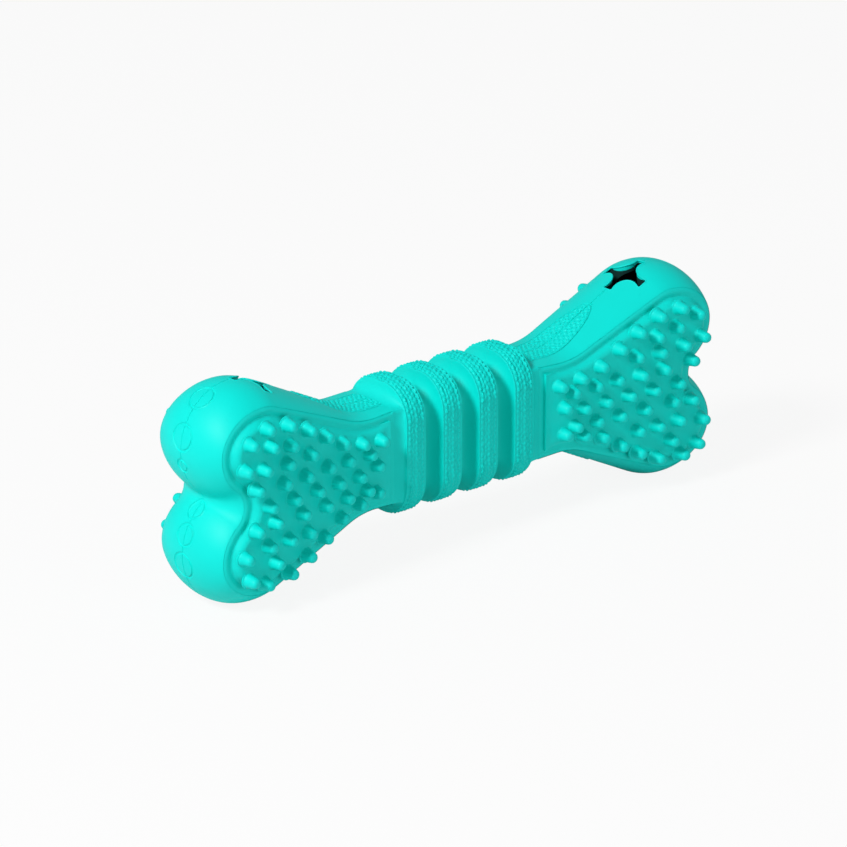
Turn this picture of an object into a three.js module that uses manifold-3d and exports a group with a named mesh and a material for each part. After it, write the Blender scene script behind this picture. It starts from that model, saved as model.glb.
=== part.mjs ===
// Ribbed rubber chew bone with studded faces and a treat pocket behind a star opening in each end.
// Millimetres. X runs along the bone, Z is up, Y points to the rear, and the origin is the bone's centre.
// The mould closes at Y = 0, so every end is a front and a rear half on either side of that plane.
import * as THREE from 'three';
import { mergeVertices } from 'three/addons/utils/BufferGeometryUtils.js';
import Module from 'manifold-3d';

const wasm = await Module();
wasm.setup();

// Fits
const clearance = 0.3;
const overrun = 5;
const edgeSpare = 0.5;
const weldTolerance = 0.0003;

// Bone outline, seen square on to the studded faces
const boneLength = 168;
const lobeRadius = 15.2;
const lobeHeight = 13.5;
const cleftRadius = 1.9;
const neckHalfHeight = 13.2;
const neckRun = 29.4;

// Rounded edge between the two studded faces, an ellipse across the bone that is flatter at the neck
const edgeReach = 15.4;
const edgeDrop = 9.5;
const neckEdgeDrop = 6.5;

// Studded faces, which lean in towards the waist
const padRoot = 26;
const padRootHalf = 10.3;
const padLobeHalf = 13.3;
const padPlate = 2.6;
const ledgeDepth = 1.6;
const ledgeWidth = 0.7;
const shoulderWidth = 2.2;

// Studs
const studBaseRadius = 1.7;
const studTipRadius = 1.1;
const studHeight = 3.4;
const studBevel = 0.4;
const studPitch = 6.7;
const studRowPitch = 4.9;
const studMargin = 5.2;
const studSpacingMin = 4.7;

// Treat pocket and its star opening
const pocketSetback = 17.4;
const pocketHeight = 14;
const pocketHalfLength = 11;
const pocketHalfWidth = 7.8;
const pocketHalfHeight = 10.5;
const starSetback = 22;
const starTipRadius = 6.9;
const starWaistRadius = 3.4;
const starArmWidth = 2.8;
const starTipRound = 0.5;

// Waist: four ribs with webs between them
const ribPitch = 12;
const ribBand = 6.4;
const ribHalfWidth = 10.7;
const ribHalfHeight = 17;
const ribCornerRadius = 8.7;
const valleyDepth = 4.5;
const webLength = 3.2;
const neckJoint = 24;
const neckCornerRadius = 5;

// Counts and shares
const neckFlareShare = 0.477;
const starLengthShare = 0.9;
const ribCount = 4;
const studSides = 6;
const neckSteps = 5;
const lobeSteps = 14;
const cleftSteps = 3;
const cornerSteps = 5;
const pocketSegments = 24;
const pocketRings = 12;
const starCurveSteps = 5;
const edgeAngleShares = [0, 0.25, 0.5, 0.75, 1];
const flankShares = [0, 0.12, 0.375];
const neckFlankShares = [0, 0.2, 0.55, 1];
const webShares = [-1, 0, 1];
const shoulderAngleShares = [0, 0.4, 0.7, 1];

const rubber = { color: 0x05cfc6, roughness: 0.55, metalness: 0 };

// Places worked out from the sizes above
const boneEnd = boneLength / 2;
const lobeX = boneEnd - lobeRadius;
const cleftX = lobeX + Math.sqrt((lobeRadius + cleftRadius) ** 2 - lobeHeight ** 2);
const pocketX = boneEnd - pocketSetback;
const starX = boneEnd - starSetback;
const neckRadius = neckFlareShare * (lobeX - neckRun);
const ribHalfBand = ribBand / 2;
const valleyHalf = (ribPitch - ribBand) / 2;

// Half thickness of the bone at a studded face
function faceY(x) {
  const lean = (padLobeHalf - padRootHalf) / (lobeX - padRoot);
  return padRootHalf + lean * (x - padRoot);
}

// How far the rounded edge has drawn in from the outline at a place along the bone and off the parting plane
function edgeInset(x, y) {
  const share = Math.min(Math.max((x - padRoot) / (lobeX - padRoot), 0), 1);
  const drop = neckEdgeDrop + (edgeDrop - neckEdgeDrop) * share;
  return drop * (1 - Math.sqrt(1 - (y / edgeReach) ** 2));
}

// Points on an arc with their inward normals; bulge is 1 where the body is inside the arc, -1 where outside
function arcPoints(centre, radius, from, to, steps, bulge) {
  return Array.from({ length: steps + 1 }, (_, i) => {
    const angle = from + ((to - from) * i) / steps;
    const [c, s] = [Math.cos(angle), Math.sin(angle)];
    return { x: centre[0] + radius * c, z: centre[1] + radius * s, nx: -bulge * c, nz: -bulge * s };
  });
}

// Outline of one end from its root round both lobes and back, as points with inward normals
function endOutline(rootX) {
  const neckCentre = [neckRun, neckHalfHeight + neckRadius];
  const lobeCentre = [lobeX, lobeHeight];
  const run = Math.atan2(lobeCentre[1] - neckCentre[1], lobeCentre[0] - neckCentre[0]);
  const apart = Math.hypot(lobeCentre[0] - neckCentre[0], lobeCentre[1] - neckCentre[1]);
  const slope = run + Math.asin((lobeRadius + neckRadius) / apart);
  const quarter = Math.PI / 2;
  const cleft = Math.atan2(-lobeHeight, cleftX - lobeX);
  const upper = [
    { x: rootX, z: neckHalfHeight, nx: 0, nz: -1 },
    ...arcPoints(neckCentre, neckRadius, -quarter, slope - quarter, neckSteps, -1),
    ...arcPoints(lobeCentre, lobeRadius, slope + quarter, cleft, lobeSteps, 1),
    ...arcPoints([cleftX, 0], cleftRadius, cleft + Math.PI, Math.PI, cleftSteps, -1).slice(1),
  ];
  const lower = upper.slice(0, -1).reverse().map((p) => ({ x: p.x, z: -p.z, nx: p.nx, nz: -p.nz }));
  return [...upper, ...lower];
}

// The outline drawn in by a distance that may change along the bone
function insetOutline(outline, inset) {
  return outline.map((p) => {
    const distance = inset(p.x);
    return [p.x + p.nx * distance, p.z + p.nz * distance];
  });
}

// Surface under construction: its points, its triangles and the turn that makes a contour run anticlockwise
class Surface {
  constructor(flatten) {
    this.flatten = flatten;
    this.points = [];
    this.index = [];
  }

  contour(ring) {
    return ring.map((p) => new THREE.Vector2(...this.flatten(p)));
  }

  addRing(ring) {
    const clockwise = THREE.ShapeUtils.isClockWise(this.contour(ring));
    const turned = clockwise ? ring.slice().reverse() : ring;
    const added = { start: this.points.length, points: turned };
    this.points.push(...turned);
    return added;
  }

  bridge(low, high) {
    const count = low.points.length;
    for (let i = 0; i < count; i += 1) {
      const next = (i + 1) % count;
      const [a, b] = [low.start + i, low.start + next];
      const [c, d] = [high.start + i, high.start + next];
      this.index.push(a, b, c, b, d, c);
    }
  }

  cap(ring, holes, up) {
    const owners = [ring, ...holes].flatMap((r) => r.points.map((_, i) => r.start + i));
    const faces = THREE.ShapeUtils.triangulateShape(
      this.contour(ring.points),
      holes.map((hole) => this.contour(hole.points)),
    );
    for (const [a, b, c] of faces) {
      const face = up ? [a, b, c] : [a, c, b];
      this.index.push(...face.map((i) => owners[i]));
    }
  }

  stack(rings) {
    const added = rings.map((ring) => this.addRing(ring));
    for (let r = 0; r + 1 < added.length; r += 1) this.bridge(added[r], added[r + 1]);
    return added;
  }

  geometry() {
    const geometry = new THREE.BufferGeometry();
    geometry.setAttribute('position', new THREE.Float32BufferAttribute(this.points.flat(), 3));
    geometry.setIndex(this.index);
    return outward(geometry);
  }
}

// Closed solid through a stack of rings with equal point counts, capped at both ends
function loft(rings, flatten) {
  const surface = new Surface(flatten);
  const added = surface.stack(rings);
  surface.cap(added[0], [], false);
  surface.cap(added[added.length - 1], [], true);
  return surface.geometry();
}

// Signed volume of a closed indexed geometry
function volume(geometry) {
  const [a, b, c] = [new THREE.Vector3(), new THREE.Vector3(), new THREE.Vector3()];
  const { position } = geometry.attributes;
  let sum = 0;
  for (let i = 0; i < geometry.index.count; i += 3) {
    a.fromBufferAttribute(position, geometry.index.getX(i));
    b.fromBufferAttribute(position, geometry.index.getX(i + 1));
    c.fromBufferAttribute(position, geometry.index.getX(i + 2));
    sum += a.dot(b.cross(c)) / 6;
  }
  return sum;
}

// Turns the faces of a closed geometry outwards
function outward(geometry) {
  if (volume(geometry) > 0) return geometry;
  const index = Array.from(geometry.index.array);
  for (let i = 0; i < index.length; i += 3) [index[i], index[i + 1]] = [index[i + 1], index[i]];
  geometry.setIndex(index);
  return geometry;
}

// Copy of a geometry mirrored by the signs given for X and Y
function mirrored(geometry, signX, signY) {
  return outward(geometry.clone().applyMatrix4(new THREE.Matrix4().makeScale(signX, signY, 1)));
}

function toSolid(geometry) {
  const bare = geometry.clone();
  bare.deleteAttribute('normal');
  bare.deleteAttribute('uv');
  const merged = mergeVertices(bare, weldTolerance);
  const vertProperties = new Float32Array(merged.attributes.position.array);
  const triVerts = new Uint32Array(merged.index.array);
  return new wasm.Manifold(new wasm.Mesh({ numProp: 3, vertProperties, triVerts }));
}

function toGeometry(solid) {
  const mesh = solid.getMesh();
  const geometry = new THREE.BufferGeometry();
  geometry.setAttribute('position', new THREE.Float32BufferAttribute(mesh.vertProperties, 3));
  geometry.setIndex(Array.from(mesh.triVerts));
  return geometry;
}

// Star with four arms along X and Y and hollow curves between them
function starShape() {
  const half = starArmWidth / 2;
  const waist = starWaistRadius * Math.SQRT1_2;
  const control = 2 * waist - (starTipRadius + half) / 2;
  const tip = starTipRadius + starTipRound;
  const shape = new THREE.Shape();
  shape.moveTo(starTipRadius, half);
  shape.quadraticCurveTo(control, control, half, starTipRadius);
  shape.quadraticCurveTo(0, tip, -half, starTipRadius);
  shape.quadraticCurveTo(-control, control, -starTipRadius, half);
  shape.quadraticCurveTo(-tip, 0, -starTipRadius, -half);
  shape.quadraticCurveTo(-control, -control, -half, -starTipRadius);
  shape.quadraticCurveTo(0, -tip, half, -starTipRadius);
  shape.quadraticCurveTo(control, -control, starTipRadius, -half);
  shape.quadraticCurveTo(tip, 0, starTipRadius, half);
  return shape;
}

function pocketSolid() {
  const pocket = new THREE.SphereGeometry(1, pocketSegments, pocketRings);
  pocket.scale(pocketHalfLength, pocketHalfWidth, pocketHalfHeight);
  pocket.translate(pocketX, 0, pocketHeight);
  const depth = lobeHeight + lobeRadius + overrun - pocketHeight;
  const star = new THREE.ExtrudeGeometry(starShape(), { depth, bevelEnabled: false, curveSegments: starCurveSteps });
  star.scale(starLengthShare, 1, 1);
  star.translate(starX, 0, pocketHeight);
  return toSolid(pocket).add(toSolid(star));
}

// A flat-sided slab that follows an inset of the outline, between two offsets from the studded face
function faceSlab(outline, inset, low, high) {
  const flat = insetOutline(outline, inset);
  const ring = (offset) => flat.map(([x, z]) => [x, faceY(x) + offset, z]);
  return loft([ring(low), ring(high)], ([x, , z]) => [x, z]);
}

// Distance from the outline to the outer edge of the studded face
function rimInset(x) {
  return edgeInset(x, faceY(x) - ledgeDepth);
}

// Rear half of the right end: rounded edge, flat studded side with its recess, pocket and star
function shellGeometry() {
  const outline = endOutline(neckJoint + clearance / 2);
  const start = Math.asin(clearance / 2 / edgeReach);
  const end = Math.asin((faceY(boneEnd) - ledgeDepth + edgeSpare) / edgeReach);
  const rings = edgeAngleShares.map((share) => {
    const angle = start + (end - start) * share;
    const y = edgeReach * Math.sin(angle);
    return insetOutline(outline, (x) => edgeInset(x, y)).map(([x, z]) => [x, y, z]);
  });
  const body = toSolid(loft(rings, ([x, , z]) => [x, z]));
  const trim = toSolid(faceSlab(endOutline(padRoot - overrun), () => -overrun, -ledgeDepth, overrun));
  const seatInset = (x) => rimInset(x) + ledgeWidth;
  const seat = toSolid(faceSlab(endOutline(padRoot - clearance), seatInset, -padPlate - clearance, overrun));
  return toGeometry(body.subtract(trim).subtract(seat).subtract(pocketSolid()));
}

// Stud places: one row that follows the rim, then a staggered field inside it
function studPlaces() {
  const rowInset = (x) => rimInset(x) + studMargin;
  const path = insetOutline(endOutline(padRoot), rowInset);
  const rootX = padRoot + studMargin;
  const row = path.filter(([x]) => x > rootX);
  const rootZ = row[0][1];
  const loop = [[rootX, 0], [rootX, rootZ], ...row, [rootX, -rootZ], [rootX, 0]];
  const lengths = loop.slice(1).map(([x, z], i) => Math.hypot(x - loop[i][0], z - loop[i][1]));
  const total = lengths.reduce((sum, part) => sum + part, 0);
  const count = Math.round(total / studPitch);
  const places = [];
  for (let k = 0; k < count; k += 1) {
    let left = (total * k) / count;
    let i = 0;
    while (left > lengths[i]) {
      left -= lengths[i];
      i += 1;
    }
    const share = left / lengths[i];
    places.push([0, 1].map((axis) => loop[i][axis] + (loop[i + 1][axis] - loop[i][axis]) * share));
  }
  const outer = places.slice();
  const rows = Math.ceil(lobeHeight / studRowPitch) + 1;
  for (let r = -rows; r <= rows; r += 1) {
    const shift = r % 2 === 0 ? studPitch / 2 : 0;
    for (let x = rootX + shift; x < boneEnd; x += studPitch) {
      const place = [x, r * studRowPitch];
      const near = Math.min(...outer.map((p) => Math.hypot(p[0] - place[0], p[1] - place[1])));
      if (near > studSpacingMin && insideLoop(place, loop)) places.push(place);
    }
  }
  return places;
}

function insideLoop([x, z], loop) {
  let inside = false;
  for (let i = 0; i + 1 < loop.length; i += 1) {
    const [[ax, az], [bx, bz]] = [loop[i], loop[i + 1]];
    if (az > z !== bz > z && x < ax + ((z - az) / (bz - az)) * (bx - ax)) inside = !inside;
  }
  return inside;
}

// Rings of one stud, a tapered pin with a bevelled tip that points away from the studded face
function studRings([x, z]) {
  const profile = [
    [studBaseRadius, 0],
    [studTipRadius, studHeight - studBevel],
    [studTipRadius - studBevel, studHeight],
  ];
  return profile.map(([radius, rise]) => Array.from({ length: studSides }, (_, i) => {
    const angle = (2 * Math.PI * i) / studSides;
    const at = x + radius * Math.cos(angle);
    return [at, faceY(rise > 0 ? x : at) + rise, z + radius * Math.sin(angle)];
  }));
}

// Rear studded pad of the right end: plate, rounded shoulder and studs in one moulding
function padGeometry() {
  const outline = endOutline(padRoot);
  const edge = ledgeWidth + clearance;
  const shoulder = shoulderAngleShares.map((share) => {
    const angle = (share * Math.PI) / 2;
    return [edge + shoulderWidth * (1 - Math.cos(angle)), -ledgeDepth * (1 - Math.sin(angle))];
  });
  const section = [[edge, -padPlate], ...shoulder];
  const surface = new Surface(([x, , z]) => [x, z]);
  const plate = surface.stack(section.map(([inset, rise]) => (
    insetOutline(outline, (x) => rimInset(x) + inset).map(([x, z]) => [x, faceY(x) + rise, z])
  )));
  const studs = studPlaces().map((place) => surface.stack(studRings(place)));
  surface.cap(plate[0], [], false);
  surface.cap(plate[plate.length - 1], studs.map((stud) => stud[0]), true);
  for (const stud of studs) surface.cap(stud[stud.length - 1], [], true);
  return surface.geometry();
}

// Rounded rectangle across the bone as a ring at one place along X
function sectionRing(x, halfWidth, halfHeight, radius) {
  const corners = [[1, 1, 0], [-1, 1, 1], [-1, -1, 2], [1, -1, 3]];
  return corners.flatMap(([sideY, sideZ, quarter]) => (
    Array.from({ length: cornerSteps + 1 }, (_, i) => {
      const angle = ((quarter + i / cornerSteps) * Math.PI) / 2;
      const y = sideY * (halfWidth - radius) + radius * Math.cos(angle);
      const z = sideZ * (halfHeight - radius) + radius * Math.sin(angle);
      return [x, y, z];
    })
  ));
}

// Depth of the valley between two ribs at a share of the way from the band edge to its middle
function valleyInset(share) {
  return valleyDepth * Math.sqrt(1 - (1 - share) ** 2);
}

function valleyRing(x, share) {
  const inset = valleyInset(share);
  return sectionRing(x, ribHalfWidth - inset, ribHalfHeight - inset, ribCornerRadius - inset);
}

// Flank of a rib that falls into a valley, from the band outwards
function valleyFlank(centre, side) {
  const reach = (ribPitch - webLength - clearance) / 2 - ribHalfBand;
  const deepest = flankShares[flankShares.length - 1];
  return flankShares.map((share) => {
    const x = centre + side * (ribHalfBand + (reach * share) / deepest);
    return valleyRing(x, (reach * share) / deepest / valleyHalf);
  });
}

// Flank of an outer rib that falls to the neck
function neckFlank(centre, side) {
  const reach = neckJoint - clearance / 2 - (ribPitch * (ribCount - 1)) / 2 - ribHalfBand;
  const neckHalfWidth = faceY(neckJoint) - ledgeDepth;
  return neckFlankShares.map((share) => {
    const fall = Math.sqrt(1 - (1 - share) ** 2);
    const mix = (from, to) => from + (to - from) * fall;
    const x = centre + side * (ribHalfBand + reach * share);
    const halfWidth = mix(ribHalfWidth, neckHalfWidth);
    return sectionRing(x, halfWidth, mix(ribHalfHeight, neckHalfHeight), mix(ribCornerRadius, neckCornerRadius));
  });
}

function ribGeometry(number) {
  const centre = (number - (ribCount - 1) / 2) * ribPitch;
  const left = number === 0 ? neckFlank(centre, -1) : valleyFlank(centre, -1);
  const right = number === ribCount - 1 ? neckFlank(centre, 1) : valleyFlank(centre, 1);
  return loft([...left.reverse(), ...right], ([, y, z]) => [y, z]);
}

function webGeometry(number) {
  const centre = (number - (ribCount - 2) / 2) * ribPitch;
  const half = (webLength - clearance) / 2;
  const rings = webShares.map((share) => valleyRing(centre + half * share, 1 - (half * Math.abs(share)) / valleyHalf));
  return loft(rings, ([, y, z]) => [y, z]);
}

const bone = new THREE.Group();

function addPiece(name, geometry) {
  const shown = geometry.clone();
  shown.computeVertexNormals();
  const mesh = new THREE.Mesh(shown, new THREE.MeshStandardMaterial(rubber));
  mesh.name = name;
  bone.add(mesh);
}

const shell = shellGeometry();
const pad = padGeometry();
for (const [end, signX] of [['left', -1], ['right', 1]]) {
  for (const [face, signY] of [['front', -1], ['rear', 1]]) {
    addPiece(`${end}_${face}_shell`, mirrored(shell, signX, signY));
    addPiece(`${end}_${face}_stud_pad`, mirrored(pad, signX, signY));
  }
}
for (let number = 0; number < ribCount; number += 1) addPiece(`rib_${number + 1}`, ribGeometry(number));
for (let number = 0; number + 1 < ribCount; number += 1) addPiece(`web_${number + 1}`, webGeometry(number));

export default bone;
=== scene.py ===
"""Looks of a ribbed rubber chew bone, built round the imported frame.

One moulding of turquoise rubber: two hollow ends with studded faces and a star opening,
four ribs round a flexible waist, and the marks that the mould leaves. The pieces of the
right end are modelled once, and copied over to the left end.
"""
import logging
import math
from contextlib import contextmanager
from dataclasses import dataclass
from enum import Enum
from typing import Callable, Iterator, Sequence

import bpy
from bpy.types import Material, MeshPolygon, Node, NodeSocket, NodeTree, Object, World
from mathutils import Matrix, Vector, noise


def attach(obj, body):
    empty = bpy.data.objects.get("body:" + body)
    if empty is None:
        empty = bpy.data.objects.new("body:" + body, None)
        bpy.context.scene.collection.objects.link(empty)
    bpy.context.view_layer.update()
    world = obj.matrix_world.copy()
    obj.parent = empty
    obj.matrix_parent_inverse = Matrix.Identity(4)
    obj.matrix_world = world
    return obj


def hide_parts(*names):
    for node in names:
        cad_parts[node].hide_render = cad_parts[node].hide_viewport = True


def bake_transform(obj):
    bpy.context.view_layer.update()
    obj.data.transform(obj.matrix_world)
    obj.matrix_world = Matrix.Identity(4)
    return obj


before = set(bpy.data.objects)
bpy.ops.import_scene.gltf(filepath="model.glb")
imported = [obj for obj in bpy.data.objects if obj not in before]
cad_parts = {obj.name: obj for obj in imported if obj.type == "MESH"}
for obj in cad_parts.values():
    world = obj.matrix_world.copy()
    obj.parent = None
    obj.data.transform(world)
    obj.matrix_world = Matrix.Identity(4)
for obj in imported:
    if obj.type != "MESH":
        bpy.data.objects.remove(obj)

MM = 0.001
TINY = 1e-6
LOG = logging.getLogger("chew_bone")
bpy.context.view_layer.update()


def mm(x: float, y: float, z: float) -> Vector:
    """Gives a place or a step in metres from millimetres."""
    return Vector((x, y, z)) * MM


class Pick(Enum):
    """What edit mode selects, named as in a mesh's own data."""

    VERTICES = (True, False, False)
    EDGES = (False, True, False)
    POLYGONS = (False, False, True)


class End(Enum):
    """The two ends of the bone, as the names of bodies and nodes call them."""

    RIGHT = "right"
    LEFT = "left"


class Slot(Enum):
    """Material slots of the record."""

    SHELL = "shell_rubber"
    STUD = "stud_rubber"
    RIB = "rib_rubber"
    WEB = "web_rubber"


def linear(colour: str) -> tuple[float, float, float, float]:
    """Turns an sRGB hex colour into the linear RGBA that a socket takes.

    Args:
        colour: six hex digits, with or without a leading hash.

    Returns:
        Linear red, green and blue, with full alpha.
    """
    digits = colour.lstrip("#")
    channels = [int(digits[i:i + 2], 16) / 255 for i in (0, 2, 4)]
    curve = [c / 12.92 if c <= 0.04045 else ((c + 0.055) / 1.055) ** 2.4 for c in channels]
    return (curve[0], curve[1], curve[2], 1.0)


def deselect_all() -> None:
    """Leaves nothing selected, in object mode."""
    if bpy.context.object and bpy.context.object.mode != "OBJECT":
        bpy.ops.object.mode_set(mode="OBJECT")
    bpy.ops.object.select_all(action="DESELECT")


def make_active(piece: Object) -> None:
    """Selects one piece alone and makes it the active one."""
    deselect_all()
    piece.select_set(True)
    bpy.context.view_layer.objects.active = piece


def primitive(name: str, add: Callable[..., object], **settings: object) -> Object:
    """Adds a primitive, with its place and turn taken into its mesh.

    Args:
        name: the piece's name.
        add: the operator that adds it.
        settings: the operator's settings, in metres.

    Returns:
        The piece.
    """
    deselect_all()
    add(**settings)
    piece = bpy.context.object
    piece.name = name
    piece.data.name = name
    bpy.ops.object.transform_apply()
    return piece


def pick_parts(pick: Pick) -> None:
    """Sets what edit mode selects."""
    bpy.context.tool_settings.mesh_select_mode = pick.value


@contextmanager
def editing(piece: Object, pick: Pick = Pick.POLYGONS, whole: bool = False) -> Iterator[None]:
    """Holds a piece in edit mode.

    Args:
        piece: the piece to edit.
        pick: what the operators select.
        whole: whether the whole piece starts selected.

    Yields:
        Nothing; edit mode ends with the block.
    """
    make_active(piece)
    bpy.ops.object.mode_set(mode="EDIT")
    pick_parts(pick)
    if whole:
        select_all()
    yield
    bpy.ops.object.mode_set(mode="OBJECT")


def select_all() -> None:
    """Selects the whole mesh in hand."""
    bpy.ops.mesh.select_all(action="SELECT")


def select(piece: Object, pick: Pick, test: Callable[..., bool]) -> None:
    """Selects the parts of a mesh in edit mode that pass a test.

    Args:
        piece: the piece in hand.
        pick: what kind of parts to look at.
        test: says whether a vertex's place, an edge's two ends or a face is wanted.
    """
    pick_parts(pick)
    bpy.ops.mesh.select_all(action="DESELECT")
    bpy.ops.object.mode_set(mode="OBJECT")
    points = piece.data.vertices
    views = {
        Pick.VERTICES: lambda vertex: (vertex.co,),
        Pick.EDGES: lambda edge: [points[i].co for i in edge.vertices],
        Pick.POLYGONS: lambda face: (face,),
    }
    parts = getattr(piece.data, pick.name.lower())
    parts.foreach_set("select", [bool(test(*views[pick](part))) for part in parts])
    bpy.ops.object.mode_set(mode="EDIT")


def extrude(step: Sequence[float]) -> None:
    """Extrudes the selection by a step, in metres."""
    bpy.ops.mesh.extrude_region_move(TRANSFORM_OT_translate={"value": step})


def split_copy(piece: Object) -> Object:
    """Copies the selection of the piece in edit mode off into a piece of its own."""
    bpy.ops.mesh.duplicate()
    bpy.ops.mesh.separate(type="SELECTED")
    return bpy.data.objects[f"{piece.name}.001"]


def resize(piece: Object, scale: Sequence[float], centre: Sequence[float] = (0, 0, 0)) -> None:
    """Resizes a whole piece about a centre, in metres."""
    with editing(piece, whole=True):
        bpy.ops.transform.resize(value=scale, center_override=centre)


def shift(piece: Object, step: Sequence[float]) -> None:
    """Moves a whole piece by a step, in metres."""
    with editing(piece, whole=True):
        bpy.ops.transform.translate(value=step)


def flip_faces(piece: Object) -> None:
    """Makes every face of a piece look the other way."""
    with editing(piece, whole=True):
        bpy.ops.mesh.flip_normals()


def turn_outwards(piece: Object) -> None:
    """Makes every face of a piece look outwards."""
    with editing(piece, whole=True):
        bpy.ops.mesh.normals_make_consistent(inside=False)


def reshape(piece: Object, move: Callable[[Vector], Vector]) -> None:
    """Moves every vertex by a rule, for forms that no transform of a selection gives.

    Args:
        piece: the piece in hand, in object mode.
        move: gives a vertex's new place from its old one, in metres.
    """
    for vertex in piece.data.vertices:
        vertex.co = move(vertex.co)
    piece.data.update()


def apply_modifier(piece: Object, kind: str, **settings: object) -> None:
    """Adds a modifier with its settings and applies it.

    Args:
        piece: the piece that takes it.
        kind: the modifier's type.
        settings: its properties by name.
    """
    make_active(piece)
    modifier = piece.modifiers.new(kind.lower(), kind)
    for key, value in settings.items():
        setattr(modifier, key, value)
    bpy.ops.object.modifier_apply(modifier=modifier.name)


def mirror(piece: Object, axes: tuple[bool, bool, bool], weld: float) -> None:
    """Mirrors a piece's mesh about the origin, and welds it within a distance in millimetres."""
    apply_modifier(piece, "MIRROR", use_axis=axes, use_mirror_merge=True, merge_threshold=weld * MM)


def throw_onto(piece: Object, target: Object, upwards: bool, offset: float = 0.0) -> None:
    """Throws a piece's vertices straight up or down onto another piece.

    Args:
        piece: the piece to move.
        target: the piece that catches it.
        upwards: whether it goes up, or down.
        offset: how far off the target it stops, in metres.
    """
    apply_modifier(
        piece, "SHRINKWRAP", target=target, wrap_method="PROJECT", use_project_z=True,
        use_positive_direction=upwards, use_negative_direction=not upwards, offset=offset,
    )


def remove(piece: Object) -> None:
    """Deletes a piece that was only a tool."""
    bpy.data.objects.remove(piece, do_unlink=True)


def smooth(piece: Object, degrees: float) -> None:
    """Shades a piece smooth up to an edge angle, and sharp past it."""
    make_active(piece)
    bpy.ops.object.shade_smooth_by_angle(angle=math.radians(degrees))


def copy_of(piece: Object, name: str) -> Object:
    """Copies a piece with a mesh of its own.

    Args:
        piece: the piece to copy.
        name: the copy's name.

    Returns:
        The copy.
    """
    twin = piece.copy()
    twin.data = piece.data.copy()
    twin.name = name
    twin.data.name = name
    bpy.context.scene.collection.objects.link(twin)
    return twin


def flipped(piece: Object, name: str, scale: Sequence[float]) -> Object:
    """Copies a piece to the other side of one of the bone's middle planes.

    Args:
        piece: the piece to copy.
        name: the copy's name.
        scale: minus one on the axis to flip, and one on the others.

    Returns:
        The copy, with its faces pointing outwards.
    """
    twin = copy_of(piece, name)
    resize(twin, scale)
    flip_faces(twin)
    return twin


def join(pieces: Sequence[Object]) -> Object:
    """Joins pieces into the first one.

    Args:
        pieces: the pieces, of which the first stays.

    Returns:
        The joined piece.
    """
    make_active(pieces[0])
    for piece in pieces[1:]:
        piece.select_set(True)
    bpy.ops.object.join()
    return pieces[0]


class OutlinePen:
    """Draws a closed outline from one vertex, by extrude and spin, and fills it with a face."""

    def __init__(self, name: str, start: Vector, axis: Vector) -> None:
        """Puts the pen down.

        Args:
            name: the piece's name.
            start: where the outline starts, in metres.
            axis: the axis that arcs turn about, anticlockwise seen from its tip.
        """
        self.piece = primitive(name, bpy.ops.mesh.primitive_plane_add, size=MM, location=start)
        self.axis = axis
        bpy.ops.object.mode_set(mode="EDIT")
        pick_parts(Pick.VERTICES)
        select_all()
        bpy.ops.mesh.merge(type="CENTER")

    def arc(self, centre: Vector, degrees: float, steps: int) -> None:
        """Draws an arc.

        Args:
            centre: the arc's centre, in metres.
            degrees: how far it turns, plus for anticlockwise.
            steps: its number of edges.
        """
        bpy.ops.mesh.spin(steps=steps, angle=-math.radians(degrees), center=centre, axis=self.axis)

    def flip_copy(self, scale: Sequence[float]) -> None:
        """Adds the mirror image of all that is drawn, and welds the two together."""
        select_all()
        bpy.ops.mesh.duplicate()
        bpy.ops.transform.resize(value=scale, center_override=(0, 0, 0))
        select_all()
        bpy.ops.mesh.remove_doubles(threshold=TINY)

    def fill(self, towards: Vector) -> Object:
        """Fills the outline with one face.

        Args:
            towards: the way that the face looks.

        Returns:
            The piece, in object mode.
        """
        select_all()
        bpy.ops.mesh.remove_doubles(threshold=TINY)
        bpy.ops.mesh.edge_face_add()
        bpy.ops.object.mode_set(mode="OBJECT")
        if self.piece.data.polygons[0].normal.dot(towards) < 0:
            flip_faces(self.piece)
        return self.piece


def clamp(value: float, low: float = 0.0, high: float = 1.0) -> float:
    """Keeps a value between two others."""
    return max(low, min(high, value))


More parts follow.
